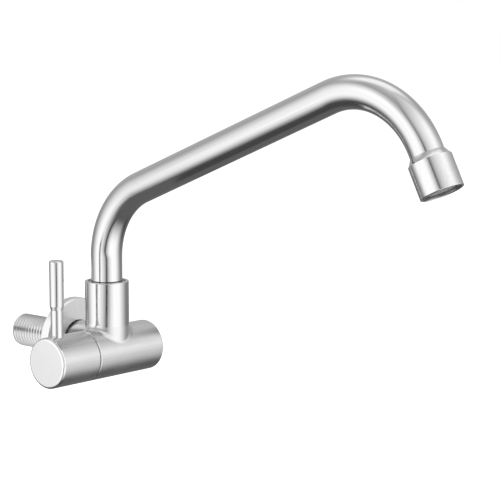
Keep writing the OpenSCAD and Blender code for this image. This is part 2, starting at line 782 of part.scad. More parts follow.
module outlet_grid() {
    rim_r = stack_r - lip_w;
    bars = floor(rim_r / grid_pitch);
    color("gray") outlet_frame() translate([0, 0, grid_base]) union() {
        pipe(stack_r, rim_r, grid_t);
        intersection() {
            cylinder(r = (stack_r + rim_r) / 2, h = grid_t);
            union()
                for (turn = [0, 90], i = [-bars:bars])
                    rotate([0, 0, turn]) translate([i * grid_pitch - grid_bar / 2, -stack_r, 0])
                        cube([grid_bar, 2 * stack_r, grid_t]);
        }
    }
}

module aerator_shell() {
    color("dimgray") outlet_frame() difference() {
        translate([0, 0, screen_base]) cylinder(r = shell_r, h = shell_end - screen_base);
        translate([0, 0, screen_base - past]) cylinder(r = shell_inner_r, h = lip_base - screen_base + past);
        cylinder(r = lip_inner_r, h = housing_end);
        translate([-key_slot_w / 2, -housing_r, shell_end - lip_t / 2]) cube([key_slot_w, housing_d, lip_t]);
    }
}

// Slides on the stub
module wall_flange() {
    flange_r = flange_d / 2;
    bore_r = tail_r + running_fit;
    collar_r = bore_r + flange_collar;
    plate_back = flange_wall - flange_depth;
    profile = concat(
        [[bore_r, -flange_depth + edge_break], [bore_r + edge_break, -flange_depth]],
        arc([flange_r - flange_round, flange_round - flange_depth], flange_round, -90, 0),
        [[flange_r, 0], [flange_r - flange_wall, 0], [flange_r - flange_wall, plate_back]],
        [[collar_r, plate_back], [collar_r, -tail_shy], [bore_r, -tail_shy]]);
    color("gainsboro") wall_frame() difference() {
        rotate_extrude() polygon(profile);
        translate([0, 0, grip_middle()]) translate([0, 0, -(grip_section + edge_break) / 2])
            cylinder(r = bore_r + grip_section, h = grip_section + edge_break);
    }
}

function grip_middle() = -(flange_depth + tail_shy) / 2;

module grip_ring() {
    color("dimgray") wall_frame() translate([0, 0, grip_middle()])
        o_ring(tail_r + seat_fit + grip_section / 2, grip_section);
}

valve_body();
inlet_tail();
headwork_body();
land_o_ring();
seat_seal();
fixed_disc();
thrust_washer();
guide_ring();
glide_washer();
mouth_bush();
lock_screw();
handle_drum();
lever();
drum_set_screw();
spindle();
spindle_o_rings();
spindle_clip();
rotating_disc();
spout_tube();
swivel_spigot();
swivel_o_rings();
outlet_housing();
aerator_gasket();
inlet_screen();
flow_plate();
aerator_insert();
outlet_grid();
aerator_shell();
wall_flange();
grip_ring();
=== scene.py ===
"""Dresses a wall-mounted sink tap.

It models the spout, the thread and the weld fillets, finishes the steel and sets up a white studio.
"""

import json
import math

import bmesh
import bpy
import numpy as np
from mathutils import Matrix, Vector


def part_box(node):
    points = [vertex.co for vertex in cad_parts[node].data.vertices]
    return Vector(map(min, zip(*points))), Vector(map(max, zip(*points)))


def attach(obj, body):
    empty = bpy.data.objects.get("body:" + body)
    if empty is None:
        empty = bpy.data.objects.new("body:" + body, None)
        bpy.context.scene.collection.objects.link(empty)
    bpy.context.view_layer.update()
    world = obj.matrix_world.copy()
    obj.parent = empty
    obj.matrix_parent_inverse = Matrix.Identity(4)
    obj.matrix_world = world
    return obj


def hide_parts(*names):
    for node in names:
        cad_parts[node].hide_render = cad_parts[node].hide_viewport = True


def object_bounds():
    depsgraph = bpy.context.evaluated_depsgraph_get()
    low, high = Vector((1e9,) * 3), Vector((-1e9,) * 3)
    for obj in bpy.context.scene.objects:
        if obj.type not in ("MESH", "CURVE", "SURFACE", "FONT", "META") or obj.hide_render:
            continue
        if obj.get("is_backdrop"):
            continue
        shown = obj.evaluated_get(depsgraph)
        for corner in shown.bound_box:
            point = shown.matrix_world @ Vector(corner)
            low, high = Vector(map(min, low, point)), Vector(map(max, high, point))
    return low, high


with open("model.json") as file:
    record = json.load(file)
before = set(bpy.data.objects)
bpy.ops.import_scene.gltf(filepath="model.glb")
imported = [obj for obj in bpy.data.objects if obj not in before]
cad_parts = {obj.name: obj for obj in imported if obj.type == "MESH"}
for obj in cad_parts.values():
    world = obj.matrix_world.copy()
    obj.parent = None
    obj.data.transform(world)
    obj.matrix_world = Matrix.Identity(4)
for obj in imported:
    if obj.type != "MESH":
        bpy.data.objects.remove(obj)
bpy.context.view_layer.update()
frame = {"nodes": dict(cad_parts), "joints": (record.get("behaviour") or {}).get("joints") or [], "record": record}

bl_info = {
    "name": "Wall Tap",
    "version": (1, 0, 0),
    "blender": (4, 5, 0),
    "location": "View3D > Sidebar > Wall Tap",
    "description": "Models and finishes a brushed steel wall tap round its packed frame",
    "category": "Object",
}

MM = 0.001
JOINTS = {joint["name"]: joint for joint in frame["joints"]}
MOUNTS = {mount["name"]: mount for mount in frame["record"]["mounts"]}
# The spout's upright axis crosses the body's level axis here
CROSSING = Vector((
    JOINTS["spout_swivel"]["pos_m"][0],
    JOINTS["handle_turn"]["pos_m"][1],
    JOINTS["handle_turn"]["pos_m"][2],
))
BODY_AXIS = Vector((1, 0, 0))
SPOUT_AXIS = Vector((0, 0, 1))
INLET_AXIS = Vector(MOUNTS["inlet_thread"]["axis"])
BODY_LOW, BODY_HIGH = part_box("valve_body")
TAIL_LOW, TAIL_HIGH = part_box("inlet_tail")
TUBE_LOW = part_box("spout_tube")[0]
DRUM_LOW, DRUM_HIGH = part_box("handle_drum")


def reach(node, point, axis, low, high):
    """Largest distance of a node's corners from an axis, among those between two heights along it."""
    corners = np.array([v.co for v in frame["nodes"][node].data.vertices]) - np.array(point)
    heights = corners @ np.array(axis)
    across = np.linalg.norm(corners - np.outer(heights, np.array(axis)), axis=1)
    return float(across[(heights >= low) & (heights <= high)].max())


# The tube is measured over this much of its foot, and the inlet's stub up to this far from the wall
SAMPLE = 5 * MM
# Above this height the valve body is its socket alone
SOCKET_LOW = 0.6 * BODY_HIGH.z
BODY_R = -BODY_LOW.z
SOCKET_R = reach("valve_body", CROSSING, SPOUT_AXIS, SOCKET_LOW, BODY_HIGH.z)
TUBE_R = reach("spout_tube", CROSSING, SPOUT_AXIS, TUBE_LOW.z, TUBE_LOW.z + SAMPLE)
TAIL_R = reach("inlet_tail", Vector(), INLET_AXIS, BODY_HIGH.y, -SAMPLE)
THREAD_R = MOUNTS["inlet_thread"]["dims"]["r_mm"] * MM
FLANGE_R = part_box("wall_flange")[1].z
# The swept tube is slimmer than its solid by this much
TUBE_SHY = 0.04 * MM


class TapSizes(bpy.types.PropertyGroup):
    """Sizes of the pieces that are modelled here."""

    socket_fillet: bpy.props.FloatProperty(
        name="Socket fillet", description="Radius of the socket's blend along the top of the level body",
        default=4 * MM, min=0.5 * MM, unit="LENGTH")
    socket_flank: bpy.props.FloatProperty(
        name="Socket flank", description="Radius of the socket's blend where the level body falls away",
        default=5 * MM, min=0.5 * MM, unit="LENGTH")
    boss_fillet: bpy.props.FloatProperty(
        name="Boss fillet", description="Radius of the blend between the inlet boss and the level body",
        default=0.9 * MM, min=0.2 * MM, unit="LENGTH")
    face_round: bpy.props.FloatProperty(
        name="Face edge", description="Rounding of the drum's end face, which is polished",
        default=1.7 * MM, unit="LENGTH")
    seam_round: bpy.props.FloatProperty(
        name="Seam edges", description="Rounding of the edges at the seam, which are polished",
        default=0.7 * MM, unit="LENGTH")
    tube_r: bpy.props.FloatProperty(
        name="Tube radius", description="Outside radius of the spout tube",
        default=TUBE_R - TUBE_SHY, unit="LENGTH")
    tube_wall: bpy.props.FloatProperty(
        name="Tube wall", description="Wall of the spout tube",
        default=1.0 * MM, unit="LENGTH")
    riser_top: bpy.props.FloatProperty(
        name="Riser top", description="Height at which the riser starts to bend",
        default=59 * MM, unit="LENGTH")
    bend_r: bpy.props.FloatProperty(
        name="Lower bend radius", description="Radius of the lower bend",
        default=49 * MM, unit="LENGTH")
    bend_angle: bpy.props.FloatProperty(
        name="Lower bend", description="Angle of the lower bend",
        default=math.radians(67.3), unit="ROTATION")
    arm_len: bpy.props.FloatProperty(
        name="Arm", description="Length of the straight arm",
        default=157.3 * MM, unit="LENGTH")
    tip_bend_r: bpy.props.FloatProperty(
        name="Tip bend radius", description="Radius of the bend at the tip",
        default=52.2 * MM, unit="LENGTH")
    tip_bend_angle: bpy.props.FloatProperty(
        name="Tip bend", description="Angle of the bend at the tip",
        default=math.radians(85.8), unit="ROTATION")
    tube_end: bpy.props.FloatProperty(
        name="Tube end", description="Straight length after the tip's bend",
        default=6.9 * MM, unit="LENGTH")
    thread_pitch: bpy.props.FloatProperty(
        name="Ridge spacing", description="Distance between the ridges of the inlet's thread",
        default=2.57 * MM, unit="LENGTH")
    thread_depth: bpy.props.FloatProperty(
        name="Thread depth", description="Depth of the inlet's pipe thread",
        default=0.45 * MM, unit="LENGTH")
    tail_bore_r: bpy.props.FloatProperty(
        name="Inlet bore", description="Radius of the inlet's bore",
        default=6.2 * MM, unit="LENGTH")
    tail_spigot_r: bpy.props.FloatProperty(
        name="Inlet spigot", description="Radius of the spigot brazed into the body",
        default=9 * MM, unit="LENGTH")
    tail_shy: bpy.props.FloatProperty(
        name="Stub shortfall", description="Distance from the stub's end to the wall",
        default=1 * MM, unit="LENGTH")


def grey(level):
    """A neutral colour."""
    return (level, level, level)


class TapFinish(bpy.types.PropertyGroup):
    """Colours and gloss of the finishes."""

    steel: bpy.props.FloatVectorProperty(
        name="Steel", description="Colour of the stainless steel",
        subtype="COLOR", size=3, default=grey(0.70))
    steel_line: bpy.props.FloatVectorProperty(
        name="Brush line", description="Colour along the darker brush lines",
        subtype="COLOR", size=3, default=grey(0.62))
    # A lighter steel colour that paints highlights on the handle's end face and the flange's rim
    steel_highlight_paint: bpy.props.FloatVectorProperty(
        name="Pale steel", description="Colour of the handle's end face and the flange's rim",
        subtype="COLOR", size=3, default=grey(0.80))
    bright_gloss: bpy.props.FloatProperty(
        name="Bright roughness", description="Roughness of the bright tube, socket, lever and outlet",
        default=0.11, min=0, max=1, subtype="FACTOR")
    satin_gloss: bpy.props.FloatProperty(
        name="Satin roughness", description="Roughness of the satin body and drum",
        default=0.31, min=0, max=1, subtype="FACTOR")
    thread_gloss: bpy.props.FloatProperty(
        name="Thread roughness", description="Roughness of the turned stub and thread",
        default=0.17, min=0, max=1, subtype="FACTOR")
    flange_gloss: bpy.props.FloatProperty(
        name="Flange roughness", description="Roughness of the wall flange",
        default=0.24, min=0, max=1, subtype="FACTOR")
    dull_steel: bpy.props.FloatVectorProperty(
        name="Dull steel", description="Colour of the aerator's shell and screen",
        subtype="COLOR", size=3, default=grey(0.30))
    screw_steel: bpy.props.FloatVectorProperty(
        name="Screw steel", description="Colour of the screws and the clip",
        subtype="COLOR", size=3, default=grey(0.50))
    brass: bpy.props.FloatVectorProperty(
        name="Brass", description="Colour of the machined brass",
        subtype="COLOR", size=3, default=(0.72, 0.50, 0.22))
    ceramic: bpy.props.FloatVectorProperty(
        name="Ceramic", description="Colour of the lapped discs",
        subtype="COLOR", size=3, default=(0.86, 0.85, 0.81))
    rubber: bpy.props.FloatVectorProperty(
        name="Rubber", description="Colour of the seals",
        subtype="COLOR", size=3, default=grey(0.025))
    nylon: bpy.props.FloatVectorProperty(
        name="Nylon", description="Colour of the bushes and washers",
        subtype="COLOR", size=3, default=grey(0.45))
    acetal: bpy.props.FloatVectorProperty(
        name="Acetal", description="Colour of the aerator's insert, plate and grid",
        subtype="COLOR", size=3, default=grey(0.40))


class TapStudio(bpy.types.PropertyGroup):
    """Camera, floor and light."""

    camera_place: bpy.props.FloatVectorProperty(
        name="Camera", description="Place of the camera",
        subtype="XYZ", size=3, unit="LENGTH", default=(-0.8929, -0.9424, 0.24505))
    camera_azimuth: bpy.props.FloatProperty(
        name="Azimuth", description="Side from which the camera looks",
        default=math.radians(-48.5), unit="ROTATION")
    camera_elevation: bpy.props.FloatProperty(
        name="Elevation", description="Angle by which the camera looks down",
        default=math.radians(8.29), unit="ROTATION")
    camera_lens: bpy.props.FloatProperty(
        name="Lens", description="Focal length in millimetres on a 36 mm sensor", default=148.06)
    floor_drop: bpy.props.FloatProperty(
        name="Floor drop", description="Distance of the floor below the tap's axis",
        default=0.32, unit="LENGTH")
    floor_r: bpy.props.FloatProperty(
        name="Floor radius", description="Radius of the round floor",
        default=9.0, unit="LENGTH")
    floor_colour: bpy.props.FloatVectorProperty(
        name="Floor", description="Colour of the floor",
        subtype="COLOR", size=3, default=grey(0.9))
    floor_lift: bpy.props.FloatProperty(
        name="Floor lift", description="Glow that shows the floor white", default=0.6)
    tent_r: bpy.props.FloatProperty(
        name="Tent radius", description="Radius of the light tent that the metal mirrors",
        default=3.2, unit="LENGTH")
    tent_level: bpy.props.FloatProperty(
        name="Tent level", description="Brightness of the tent's soft boxes", default=1.46)
    ambient: bpy.props.FloatProperty(
        name="Ambient", description="Brightness of the world for matt surfaces", default=0.55)
    key_place: bpy.props.FloatVectorProperty(
        name="Key lamp", description="Place of the key lamp",
        subtype="XYZ", size=3, unit="LENGTH", default=(-1.6, -1.2, 1.8))
    key_size: bpy.props.FloatProperty(
        name="Key size", description="Side of the key lamp", default=1.6, unit="LENGTH")
    key_power: bpy.props.FloatProperty(
        name="Key power", description="Power of the key lamp", default=55, unit="POWER")
    fill_place: bpy.props.FloatVectorProperty(
        name="Fill lamp", description="Place of the fill lamp",
        subtype="XYZ", size=3, unit="LENGTH", default=(0.9, -2.0, 1.4))
    fill_size: bpy.props.FloatProperty(
        name="Fill size", description="Side of the fill lamp", default=1.8, unit="LENGTH")
    fill_power: bpy.props.FloatProperty(
        name="Fill power", description="Power of the fill lamp", default=40, unit="POWER")


def sizes():
    """The scene's sizes."""
    return bpy.context.scene.tap_sizes


def finish():
    """The scene's colours and gloss."""
    return bpy.context.scene.tap_finish


def studio():
    """The scene's camera, floor and light."""
    return bpy.context.scene.tap_studio


# Meshes

# Points round the tube and the thread, and the turn between two rings in a bend
AROUND = 120
BEND_STEP = math.radians(1.53)


def circle_angles(count):
    """Angles of evenly spaced points on a circle."""
    return [2 * math.pi * i / count for i in range(count)]


def mesh_object(name, bm, sharp_angle=math.radians(32)):
    """Turns a bmesh into an object whose edges are smooth below an angle."""
    bmesh.ops.recalc_face_normals(bm, faces=bm.faces)
    for face in bm.faces:
        face.smooth = True
    for edge in bm.edges:
        edge.smooth = edge.calc_face_angle(math.pi) < sharp_angle
    mesh = bpy.data.meshes.new(name)
    bm.to_mesh(mesh)
    bm.free()
    piece = bpy.data.objects.new(name, mesh)
    bpy.context.scene.collection.objects.link(piece)
    return piece


def closed_grid(rows):
    """A bmesh of a grid of points that closes both along its rows and across them."""
    bm = bmesh.new()
    vertices = [[bm.verts.new(point) for point in row] for row in rows]
    count = len(vertices[0])
    for i, row in enumerate(vertices):
        after = vertices[(i + 1) % len(vertices)]
        for j in range(count):
            k = (j + 1) % count
            bm.faces.new((row[j], row[k], after[k], after[j]))
    return bm


def set_grain(piece, points):
    """Stores each corner's place on the straight, unbent stock, which the brush lines follow."""
    attribute = piece.data.attributes.new("grain", "FLOAT_VECTOR", "POINT")
    attribute.data.foreach_set("vector", np.array(points, np.float32).ravel())


def seat(piece, body, slot, *nodes):
    """Rides a new piece on its body, and lets it stand for the nodes that it replaces."""
    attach(piece, body)
    if nodes:
        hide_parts(*nodes)


def spout_line():
    """Centre line of the spout as (distance, place, direction), with more steps in the bends."""
    size = sizes()
    place = CROSSING + SPOUT_AXIS * TUBE_LOW.z
    direction = Vector(SPOUT_AXIS)
    line = [(0.0, place.copy(), direction.copy())]

    def straight(length, steps):
        base, start, _ = line[-1]
        for i in range(1, steps + 1):
            run = length * i / steps
            line.append((base + run, start + direction * run, direction.copy()))

    def bend(radius, angle):
        base, start, first = line[-1]
        inward = BODY_AXIS.cross(direction)
        centre = start + inward * radius
        steps = round(angle / BEND_STEP)
        for i in range(1, steps + 1):
            turn = Matrix.Rotation(angle * i / steps, 3, BODY_AXIS)
            line.append((base + radius * angle * i / steps, centre - turn @ inward * radius, turn @ first))
        direction.xyz = line[-1][2]

    straight(CROSSING.z + size.riser_top - TUBE_LOW.z, steps=4)
    bend(size.bend_r, size.bend_angle)
    straight(size.arm_len, steps=12)
    bend(size.tip_bend_r, size.tip_bend_angle)
    straight(size.tube_end, steps=2)
    return line


def make_spout_tube():
    """The bent tube, swept along its centre line, with its wall."""
    size = sizes()
    rows, grain = [], []
    line = spout_line()
    for radius, stretch in ((size.tube_r, line), (size.tube_r - size.tube_wall, line[::-1])):
        for distance, place, direction in stretch:
            other = direction.cross(BODY_AXIS)
            row = []
            for angle in circle_angles(AROUND):
                across = (radius * math.cos(angle), radius * math.sin(angle))
                row.append(place + BODY_AXIS * across[0] + other * across[1])
                grain.append((distance, *across))
            rows.append(row)
    piece = mesh_object("spout_tube_bent", closed_grid(rows))
    set_grain(piece, grain)
    seat(piece, "spout", "steel_bright", "spout_tube")
    return piece


def thread_height(phase):
    """Height of the pipe thread's rounded form, 1 at the crest and 0 at the root, by the share of a pitch."""
    away = abs(phase - round(phase))
    flank_start, flank_end = 0.1, 0.46
    up = min(max((flank_end - away) / (flank_end - flank_start), 0.0), 1.0)
    return up * up * (3 - 2 * up)


def make_inlet_tail():
    """The inlet's stub and its right-handed pipe thread."""
    size = sizes()
    steps_per_turn = 10
    edge = 0.3 * MM
    lead_depth = 0.9 * MM
    root_r = THREAD_R - size.thread_depth
    boss_face = BODY_HIGH.y
    start, end = -size.tail_shy, TAIL_HIGH.y
    rows = []

    def ring(y, radius_at):
        row = []
        for angle in circle_angles(AROUND):
            radius = radius_at(angle)
            row.append(Vector((radius * math.sin(angle), y, radius * math.cos(angle))))
        rows.append(row)

    def plain(y, radius):
        ring(y, lambda angle: radius)

    def threaded(y):
        # The thread fades in over a turn, and its end has a 45 degree lead
        fade = min((y - start) / size.thread_pitch, 1.0)
        lead = THREAD_R - lead_depth + (end - y)

        def radius_at(angle):
            height = thread_height(y / size.thread_pitch - angle / (2 * math.pi))
            return min(root_r + size.thread_depth * height * fade, lead)

        ring(y, radius_at)

    plain(TAIL_LOW.y, size.tail_bore_r)
    plain(TAIL_LOW.y, size.tail_spigot_r)
    plain(boss_face, size.tail_spigot_r)
    plain(boss_face, TAIL_R)
    plain(start - edge, TAIL_R)
    plain(start, TAIL_R - edge)
    count = round((end - start) / size.thread_pitch * steps_per_turn)
    for i in range(count + 1):
        threaded(start + (end - start) * i / count)
    plain(end, size.tail_bore_r + edge)
    plain(end - edge, size.tail_bore_r)
    piece = mesh_object("inlet_tail_threaded", closed_grid(rows), sharp_angle=math.radians(50))
    seat(piece, "valve", "steel_thread", "inlet_tail")
    return piece


def saddle_fillet(name, place, branch_axis, branch_r, top_radius, flank_radius):
    """A ring that blends a round branch into the level body, as a ball rolled round the corner leaves it."""
    around, across = 144, 14
    sunk = 0.5 * MM
    third = branch_axis.cross(BODY_AXIS)
    rows = []
    for angle in circle_angles(around):
        radius = top_radius + (flank_radius - top_radius) * math.sin(angle) ** 2
        x = (branch_r + radius) * math.cos(angle)
        y = (branch_r + radius) * math.sin(angle)
        z = math.sqrt((BODY_R + radius) ** 2 - y ** 2)
        centre = Vector((x, y, z))
        to_branch = Vector((-math.cos(angle), -math.sin(angle), 0))
        to_body = -Vector((0, y, z)).normalized()
        row = [centre + to_branch.slerp(to_body, j / across) * radius for j in range(across + 1)]
        # The hidden corner lies inside both pieces
        inner_r = branch_r - sunk
        inner_y = inner_r * math.sin(angle)
        inner_z = math.sqrt((BODY_R - sunk) ** 2 - inner_y ** 2)
        row.append(Vector((inner_r * math.cos(angle), inner_y, inner_z)))
        rows.append([place + BODY_AXIS * p.x + third * p.y + branch_axis * p.z for p in row])
    piece = mesh_object(name, closed_grid(rows), sharp_angle=math.radians(40))
    seat(piece, "valve", "steel_satin")
    return piece


# Nodes

# A mix node's sockets by what it mixes: first input, second input, output
MIX_SOCKETS = {"FLOAT": (2, 3, 0), "VECTOR": (4, 5, 1), "RGBA": (6, 7, 2)}
WHITE = (1, 1, 1, 1)


def add_node(tree, kind, inputs=None, **options):
    """Adds a node, sets its options, and sets or links its inputs."""
    node = tree.nodes.new(kind)
    for key, value in options.items():
        setattr(node, key, value)
    for key, value in (inputs or {}).items():
        if isinstance(value, bpy.types.NodeSocket):
            tree.links.new(value, node.inputs[key])
        else:
            node.inputs[key].default_value = value
    return node


def math_node(tree, operation, first, second=0.0):
    """A sum or other operation on one or two values."""
    return add_node(tree, "ShaderNodeMath", {0: first, 1: second}, operation=operation).outputs[0]


def product(tree, first, *others):
    """The product of several values."""
    for other in others:
        first = math_node(tree, "MULTIPLY", first, other)
    return first


def ramp(tree, value, low, high, to_low=0.0, to_high=1.0):
    """A smooth step from one level at a low value to another at a high one. Low may be the larger number."""
    inputs = {"Value": value, "From Min": low, "From Max": high, "To Min": to_low, "To Max": to_high}
    return add_node(tree, "ShaderNodeMapRange", inputs, interpolation_type="SMOOTHSTEP").outputs["Result"]


def mix(tree, kind, share, first, second):
    """A mix of two values, places or colours by a share."""
    at_first, at_second, at_result = MIX_SOCKETS[kind]
    inputs = {0: share, at_first: first, at_second: second}
    return add_node(tree, "ShaderNodeMix", inputs, data_type=kind).outputs[at_result]


def opaque(colour):
    """A colour with full alpha."""
    return (*colour, 1)


def own_place(tree):
    """A point's place from its object's own origin."""
    return add_node(tree, "ShaderNodeTexCoord").outputs["Object"]


def axes_of(tree, place):
    """The three coordinates of a place."""
    return add_node(tree, "ShaderNodeSeparateXYZ", {0: place}).outputs


def from_axis(tree, place, across):
    """Distance of a place from an axis through the origin. Across has a 1 for each coordinate that counts."""
    flat = add_node(tree, "ShaderNodeVectorMath", {0: place, 1: across}, operation="MULTIPLY").outputs[0]
    return add_node(tree, "ShaderNodeVectorMath", {0: flat}, operation="LENGTH").outputs["Value"]


# Finishes

# Values of a noise between which a finish goes from one end of its range to the other
NOISE_SPAN = (0.3, 0.7)
LINE_SPAN = (0.3, 0.6)
BUMP_STRENGTH = 0.5


def brushed_group():
    """Fine lines that run along the grain's X, and a slow haze, from a place on the stock in metres."""
    if "Brushed grain" in bpy.data.node_groups:
        return bpy.data.node_groups["Brushed grain"]
    tree = bpy.data.node_groups.new("Brushed grain", "ShaderNodeTree")
    new_socket = tree.interface.new_socket
    new_socket("Place", in_out="INPUT", socket_type="NodeSocketVector")
    new_socket("Lines per metre", in_out="INPUT", socket_type="NodeSocketFloat")
    new_socket("Line length", in_out="INPUT", socket_type="NodeSocketFloat")
    new_socket("Lines", in_out="OUTPUT", socket_type="NodeSocketFloat")
    new_socket("Haze", in_out="OUTPUT", socket_type="NodeSocketFloat")
    given = add_node(tree, "NodeGroupInput")
    result = add_node(tree, "NodeGroupOutput")
    along = math_node(tree, "DIVIDE", 1.0, given.outputs["Line length"])
    scale = add_node(tree, "ShaderNodeCombineXYZ", {
        "X": along, "Y": given.outputs["Lines per metre"], "Z": given.outputs["Lines per metre"]})
    stretched = add_node(tree, "ShaderNodeVectorMath", {
        0: given.outputs["Place"], 1: scale.outputs[0]}, operation="MULTIPLY")
    lines = add_node(tree, "ShaderNodeTexNoise", {
        "Vector": stretched.outputs[0], "Scale": 1.0, "Detail": 4.0, "Roughness": 0.65})
    haze = add_node(tree, "ShaderNodeTexNoise", {
        "Vector": given.outputs["Place"], "Scale": 60.0, "Detail": 2.0, "Roughness": 0.5})
    tree.links.new(lines.outputs["Fac"], result.inputs["Lines"])
    tree.links.new(haze.outputs["Fac"], result.inputs["Haze"])
    return tree


def new_material(name):
    """A material with only its shader."""
    material = bpy.data.materials.new(name)
    material.use_nodes = True
    tree = material.node_tree
    return material, tree, tree.nodes["Principled BSDF"]


def mesh_grain(tree):
    """Place on the straight stock, as the mesh stores it."""
    return add_node(tree, "ShaderNodeAttribute", attribute_name="grain").outputs["Vector"]


def turned_grain(tree, order):
    """A point's own place with the axis of the brush lines first."""
    parts = axes_of(tree, own_place(tree))
    turned = {axis: parts[order[i]] for i, axis in enumerate("XYZ")}
    return add_node(tree, "ShaderNodeCombineXYZ", turned).outputs[0]


def upright_share(tree):
    """1 on the upright socket and 0 on the level body."""
    blend_foot, blend_top = BODY_R + 0.5 * MM, BODY_R + 3.5 * MM
    height = axes_of(tree, own_place(tree))["Z"]
    return ramp(tree, height, blend_foot, blend_top)


def body_grain(tree):
    """Brush direction of the valve body: along the level part, up the socket."""
    return mix(tree, "VECTOR", upright_share(tree), turned_grain(tree, "XYZ"), turned_grain(tree, "ZXY"))


def near_end(tree, end, rounding):
    """1 over the rounded edge at an end of the level body or drum, and 0 from a little past it."""
    past = 1.2 * rounding
    along = axes_of(tree, own_place(tree))["X"]
    away = math_node(tree, "ABSOLUTE", math_node(tree, "SUBTRACT", along, end))
    return ramp(tree, away, past, 0.8 * past)


def from_body_axis(tree):
    """Distance from the level body's axis."""
    moved = add_node(tree, "ShaderNodeVectorMath", {0: own_place(tree), 1: CROSSING}, operation="SUBTRACT")
    return from_axis(tree, moved.outputs[0], (0, 1, 1))


def polished(tree, share):
    """Roughness that goes from satin to bright by a share."""
    look = finish()
    return ramp(tree, share, 0, 1, look.satin_gloss, look.bright_gloss)


def body_gloss(tree):
    """The socket and the rounded edge at the seam are polished brighter than the level body."""
    seam_edge = near_end(tree, BODY_LOW.x, sizes().seam_round)
    return polished(tree, math_node(tree, "MAXIMUM", upright_share(tree), seam_edge))


def drum_gloss(tree):
    """The drum's rounded edges are polished brighter than its side and its face."""
    size = sizes()
    soft = 0.5 * MM
    flat_r = BODY_R - size.face_round
    off_flat = ramp(tree, from_body_axis(tree), flat_r - soft, flat_r)
    face_edge = product(tree, near_end(tree, DRUM_LOW.x, size.face_round), off_flat)
    seam_edge = near_end(tree, DRUM_HIGH.x, size.seam_round)
    return polished(tree, math_node(tree, "MAXIMUM", face_edge, seam_edge))


def face_highlight_share(tree):
    """1 on the handle's end face and the outer part of its rounded edge, which get a lighter colour as a painted
    highlight, and 0 on its side.
    """
    face_end, side_start = DRUM_LOW.x + 0.3 * MM, DRUM_LOW.x + 1.1 * MM
    along = axes_of(tree, own_place(tree))["X"]
    return ramp(tree, along, side_start, face_end)


def rim_highlight_share(tree):
    """1 on the wall flange's outer rim, which gets a lighter colour as a painted highlight, and 0 on its face."""
    face_end, rim_start = FLANGE_R - 1.0 * MM, FLANGE_R - 0.2 * MM
    across = from_axis(tree, own_place(tree), (1, 0, 1))
    return ramp(tree, across, face_end, rim_start)


def brushed_steel(name, place, gloss, lines_per_metre, line_length, depth, painted_highlight=None):
    """Stainless steel with brush lines in its colour, gloss and surface.

    The place is an order of axes or builds a place, the gloss is a number or builds one, and the last one, if
    given, builds the share where a lighter steel colour paints a highlight.
    """
    look = finish()
    gloss_spread = 0.03
    material, tree, shader = new_material(name)
    group = add_node(tree, "ShaderNodeGroup", {
        "Place": place(tree) if callable(place) else turned_grain(tree, place),
        "Lines per metre": lines_per_metre, "Line length": line_length}, node_tree=brushed_group())
    lines = ramp(tree, group.outputs["Lines"], *LINE_SPAN)
    colour = mix(tree, "RGBA", lines, opaque(look.steel_line), opaque(look.steel))
    # A lighter steel colour over the given share paints a highlight
    if painted_highlight:
        colour = mix(tree, "RGBA", painted_highlight(tree), colour, opaque(look.steel_highlight_paint))
    tree.links.new(colour, shader.inputs["Base Color"])
    haze = ramp(tree, group.outputs["Haze"], *NOISE_SPAN, -gloss_spread, gloss_spread)
    rough = math_node(tree, "ADD", gloss(tree) if callable(gloss) else gloss, haze)
    tree.links.new(rough, shader.inputs["Roughness"])
    bump = add_node(tree, "ShaderNodeBump", {
        "Strength": BUMP_STRENGTH, "Distance": depth, "Height": group.outputs["Lines"]})
    tree.links.new(bump.outputs[0], shader.inputs["Normal"])
    shader.inputs["Metallic"].default_value = 1.0
    return material


def mottled(name, colour, gloss, per_metre, relief, metallic=0.0, contrast=0.12):
    """A moulded, cast or lapped surface: a fine speckle in colour, gloss and relief."""
    gloss_spread = 0.15
    material, tree, shader = new_material(name)
    speckle = add_node(tree, "ShaderNodeTexNoise", {
        "Vector": own_place(tree), "Scale": per_metre, "Detail": 4.0, "Roughness": 0.6}).outputs["Fac"]
    share = ramp(tree, speckle, *NOISE_SPAN)
    darker = [channel * (1 - contrast) for channel in colour]
    tree.links.new(mix(tree, "RGBA", share, opaque(darker), opaque(colour)), shader.inputs["Base Color"])
    rough = ramp(tree, speckle, *NOISE_SPAN, gloss * (1 + gloss_spread), gloss * (1 - gloss_spread))
    tree.links.new(rough, shader.inputs["Roughness"])
    bump = add_node(tree, "ShaderNodeBump", {
        "Strength": BUMP_STRENGTH, "Distance": relief, "Height": speckle})
    tree.links.new(bump.outputs[0], shader.inputs["Normal"])
    shader.inputs["Metallic"].default_value = metallic
    return material


def bright_tube_steel():
    """Bright tube, brushed along its bends."""
    return brushed_steel("bright_tube_steel", mesh_grain, finish().bright_gloss,
                         lines_per_metre=2600, line_length=80 * MM, depth=0.008 * MM)


def bright_turned_steel():
    """Bright pin, brushed along its length."""
    return brushed_steel("bright_turned_steel", "ZXY", finish().bright_gloss,
                         lines_per_metre=2400, line_length=40 * MM, depth=0.006 * MM)


def outlet_steel():
    """Bright outlet, brushed upright."""
    return brushed_steel("outlet_steel", "ZXY", finish().bright_gloss,
                         lines_per_metre=1800, line_length=20 * MM, depth=0.01 * MM)


def satin_body_steel():
    """Satin body with a bright socket."""
    return brushed_steel("satin_body_steel", body_grain, body_gloss,
                         lines_per_metre=2600, line_length=40 * MM, depth=0.004 * MM)


def satin_drum_steel():
    """Satin drum with bright edges, and a lighter colour on its end face and rounded edge as a painted highlight.
    """
    return brushed_steel("satin_drum_steel", "XYZ", drum_gloss,
                         lines_per_metre=2600, line_length=40 * MM, depth=0.004 * MM, painted_highlight=face_highlight_share)


